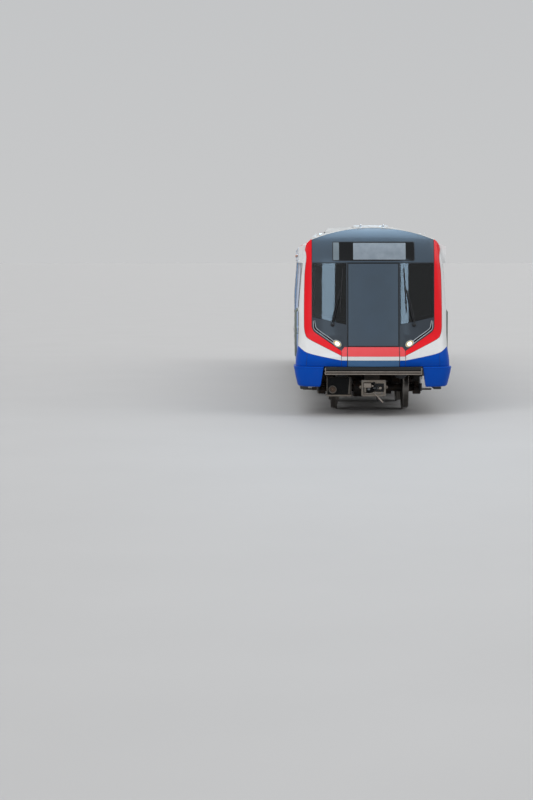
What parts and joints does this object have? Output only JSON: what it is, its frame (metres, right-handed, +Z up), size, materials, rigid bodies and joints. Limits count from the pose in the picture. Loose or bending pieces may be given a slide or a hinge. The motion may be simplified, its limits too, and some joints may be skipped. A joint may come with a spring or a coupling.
{
  "type": "metro train driving car",
  "caption": "Leading car of an elevated metro train with a bowed cab front, sliding side doors and powered bogies",
  "frame": {"origin": "on the car's centreline, halfway between the coupler faces, at the lowest point of the wheel flanges", "axes": "+Z up, -Y the way the cab faces, +X to the viewer's right when looking at the cab front"},
  "size_m": [3.12, 21.8, 3.878],
  "materials": {
    "underframe_paint": "dark grey underframe paint with dust",
    "body_silver": "pale silver paint with blue film areas",
    "roof_white": "white roof paint",
    "front_white": "white gloss paint with red and blue bands",
    "front_slate": "dark slate gloss paint",
    "front_blue": "blue gloss paint",
    "bellows_rubber": "coated fabric bellows",
    "roof_grey": "light grey paint",
    "weathered_steel": "dusty cast steel",
    "bogie_paint": "dark paint with brake dust",
    "wheel_steel": "rolled steel, bright tread",
    "equipment_grey": "dark grey powder coat",
    "lining": "light moulded lining",
    "desk_black": "textured black desk",
    "seat_fabric": "woven seat cover",
    "bench_blue": "moulded blue seats",
    "stainless": "brushed stainless tube",
    "wiper_black": "black coated arms"
  },
  "bodies": {
    "car_body": {"underframe": "underframe_paint", "side_wall_left": "body_silver", "side_wall_right": "body_silver", "roof": "roof_white", "nose_shell": "front_white", "end_wall_rear": "body_silver", "gangway_bellows": "bellows_rubber", "air_conditioner_front": "roof_grey", "air_conditioner_rear": "roof_grey", "corner_skirt_left": "front_blue", "corner_skirt_right": "front_blue", "anti_climber": "weathered_steel", "horn_box": "underframe_paint", "traction_inverter": "equipment_grey", "brake_resistor": "equipment_grey", "auxiliary_converter": "equipment_grey", "battery_box": "equipment_grey", "cab_partition": "lining", "cab_desk": "desk_black", "driver_seat": "seat_fabric", "handrail_left": "stainless", "handrail_right": "stainless", "wiper_left": "wiper_black", "wiper_right": "wiper_black", "bench_left_1": "bench_blue", "bench_left_2": "bench_blue", "bench_left_3": "bench_blue", "bench_right_1": "bench_blue", "bench_right_2": "bench_blue", "bench_right_3": "bench_blue"},
    "coupler_front": {"coupler_front": "weathered_steel"},
    "coupler_rear": {"coupler_rear": "weathered_steel"},
    "front_door": {"front_door": "front_slate"},
    "cab_door_left": {"cab_door_left": "front_white"},
    "cab_door_right": {"cab_door_right": "front_white"},
    "partition_door": {"partition_door": "lining"},
    "bogie_front": {"bogie_frame_front": "bogie_paint"},
    "bogie_rear": {"bogie_frame_rear": "bogie_paint"},
    "wheelset_front_leading": {"wheelset_front_leading": "wheel_steel"},
    "wheelset_front_trailing": {"wheelset_front_trailing": "wheel_steel"},
    "wheelset_rear_leading": {"wheelset_rear_leading": "wheel_steel"},
    "wheelset_rear_trailing": {"wheelset_rear_trailing": "wheel_steel"},
    "door_left_1_front": {"door_left_1_front": "body_silver"},
    "door_left_1_rear": {"door_left_1_rear": "body_silver"},
    "door_left_2_front": {"door_left_2_front": "body_silver"},
    "door_left_2_rear": {"door_left_2_rear": "body_silver"},
    "door_left_3_front": {"door_left_3_front": "body_silver"},
    "door_left_3_rear": {"door_left_3_rear": "body_silver"},
    "door_left_4_front": {"door_left_4_front": "body_silver"},
    "door_left_4_rear": {"door_left_4_rear": "body_silver"},
    "door_right_1_front": {"door_right_1_front": "body_silver"},
    "door_right_1_rear": {"door_right_1_rear": "body_silver"},
    "door_right_2_front": {"door_right_2_front": "body_silver"},
    "door_right_2_rear": {"door_right_2_rear": "body_silver"},
    "door_right_3_front": {"door_right_3_front": "body_silver"},
    "door_right_3_rear": {"door_right_3_rear": "body_silver"},
    "door_right_4_front": {"door_right_4_front": "body_silver"},
    "door_right_4_rear": {"door_right_4_rear": "body_silver"}
  },
  "joints": [
    {"name": "bogie_front_yaw", "type": "hinge", "parent": "car_body", "child": "bogie_front", "pos_m": [0, -7.5, 1.009], "axis": [0, 0, 1], "range_deg": [-4, 4]},
    {"name": "wheelset_front_leading_spin", "type": "hinge", "parent": "bogie_front", "child": "wheelset_front_leading", "pos_m": [0, -8.65, 0.44912], "axis": [1, 0, 0], "continuous": true},
    {"name": "wheelset_front_trailing_spin", "type": "hinge", "parent": "bogie_front", "child": "wheelset_front_trailing", "pos_m": [0, -6.35, 0.44912], "axis": [1, 0, 0], "continuous": true},
    {"name": "bogie_rear_yaw", "type": "hinge", "parent": "car_body", "child": "bogie_rear", "pos_m": [0, 7.5, 1.009], "axis": [0, 0, 1], "range_deg": [-4, 4]},
    {"name": "wheelset_rear_leading_spin", "type": "hinge", "parent": "bogie_rear", "child": "wheelset_rear_leading", "pos_m": [0, 6.35, 0.44912], "axis": [1, 0, 0], "continuous": true},
    {"name": "wheelset_rear_trailing_spin", "type": "hinge", "parent": "bogie_rear", "child": "wheelset_rear_trailing", "pos_m": [0, 8.65, 0.44912], "axis": [1, 0, 0], "continuous": true},
    {"name": "coupler_front_swing", "type": "hinge", "parent": "car_body", "child": "coupler_front", "pos_m": [0, -10.15, 0.58], "axis": [0, 0, 1], "range_deg": [-15, 15]},
    {"name": "coupler_rear_swing", "type": "hinge", "parent": "car_body", "child": "coupler_rear", "pos_m": [0, 10.15, 0.58], "axis": [0, 0, 1], "range_deg": [-15, 15]},
    {"name": "front_door_swing", "type": "hinge", "parent": "car_body", "child": "front_door", "pos_m": [-0.514, -10.53967, 2.24], "axis": [0, -0.1309, -0.9914], "range_deg": [0, 95]},
    {"name": "cab_door_left_swing", "type": "hinge", "parent": "car_body", "child": "cab_door_left", "pos_m": [-1.394, -8.862, 2.08], "axis": [0, 0, 1], "range_deg": [0, 90]},
    {"name": "cab_door_right_swing", "type": "hinge", "parent": "car_body", "child": "cab_door_right", "pos_m": [1.394, -8.862, 2.08], "axis": [0, 0, -1], "range_deg": [0, 90]},
    {"name": "partition_door_swing", "type": "hinge", "parent": "car_body", "child": "partition_door", "pos_m": [0.346, -8.132, 2.1], "axis": [0, 0, -1], "range_deg": [0, 90]},
    {"name": "door_left_1_front_slide", "type": "slide", "parent": "car_body", "child": "door_left_1_front", "axis": [0, -1, 0], "range_m": [0, 0.7]},
    {"name": "door_left_1_rear_slide", "type": "slide", "parent": "car_body", "child": "door_left_1_rear", "axis": [0, 1, 0], "range_m": [0, 0.7]},
    {"name": "door_left_2_front_slide", "type": "slide", "parent": "car_body", "child": "door_left_2_front", "axis": [0, -1, 0], "range_m": [0, 0.7]},
    {"name": "door_left_2_rear_slide", "type": "slide", "parent": "car_body", "child": "door_left_2_rear", "axis": [0, 1, 0], "range_m": [0, 0.7]},
    {"name": "door_left_3_front_slide", "type": "slide", "parent": "car_body", "child": "door_left_3_front", "axis": [0, -1, 0], "range_m": [0, 0.7]},
    {"name": "door_left_3_rear_slide", "type": "slide", "parent": "car_body", "child": "door_left_3_rear", "axis": [0, 1, 0], "range_m": [0, 0.7]},
    {"name": "door_left_4_front_slide", "type": "slide", "parent": "car_body", "child": "door_left_4_front", "axis": [0, -1, 0], "range_m": [0, 0.7]},
    {"name": "door_left_4_rear_slide", "type": "slide", "parent": "car_body", "child": "door_left_4_rear", "axis": [0, 1, 0], "range_m": [0, 0.7]},
    {"name": "door_right_1_front_slide", "type": "slide", "parent": "car_body", "child": "door_right_1_front", "axis": [0, -1, 0], "range_m": [0, 0.7]},
    {"name": "door_right_1_rear_slide", "type": "slide", "parent": "car_body", "child": "door_right_1_rear", "axis": [0, 1, 0], "range_m": [0, 0.7]},
    {"name": "door_right_2_front_slide", "type": "slide", "parent": "car_body", "child": "door_right_2_front", "axis": [0, -1, 0], "range_m": [0, 0.7]},
    {"name": "door_right_2_rear_slide", "type": "slide", "parent": "car_body", "child": "door_right_2_rear", "axis": [0, 1, 0], "range_m": [0, 0.7]},
    {"name": "door_right_3_front_slide", "type": "slide", "parent": "car_body", "child": "door_right_3_front", "axis": [0, -1, 0], "range_m": [0, 0.7]},
    {"name": "door_right_3_rear_slide", "type": "slide", "parent": "car_body", "child": "door_right_3_rear", "axis": [0, 1, 0], "range_m": [0, 0.7]},
    {"name": "door_right_4_front_slide", "type": "slide", "parent": "car_body", "child": "door_right_4_front", "axis": [0, -1, 0], "range_m": [0, 0.7]},
    {"name": "door_right_4_rear_slide", "type": "slide", "parent": "car_body", "child": "door_right_4_rear", "axis": [0, 1, 0], "range_m": [0, 0.7]}
  ],
  "couplings": [
    {"joint": "door_left_1_rear_slide", "follows": "door_left_1_front_slide", "ratio": 1},
    {"joint": "door_left_2_rear_slide", "follows": "door_left_2_front_slide", "ratio": 1},
    {"joint": "door_left_3_rear_slide", "follows": "door_left_3_front_slide", "ratio": 1},
    {"joint": "door_left_4_rear_slide", "follows": "door_left_4_front_slide", "ratio": 1},
    {"joint": "door_right_1_rear_slide", "follows": "door_right_1_front_slide", "ratio": 1},
    {"joint": "door_right_2_rear_slide", "follows": "door_right_2_front_slide", "ratio": 1},
    {"joint": "door_right_3_rear_slide", "follows": "door_right_3_front_slide", "ratio": 1},
    {"joint": "door_right_4_rear_slide", "follows": "door_right_4_front_slide", "ratio": 1}
  ]
}
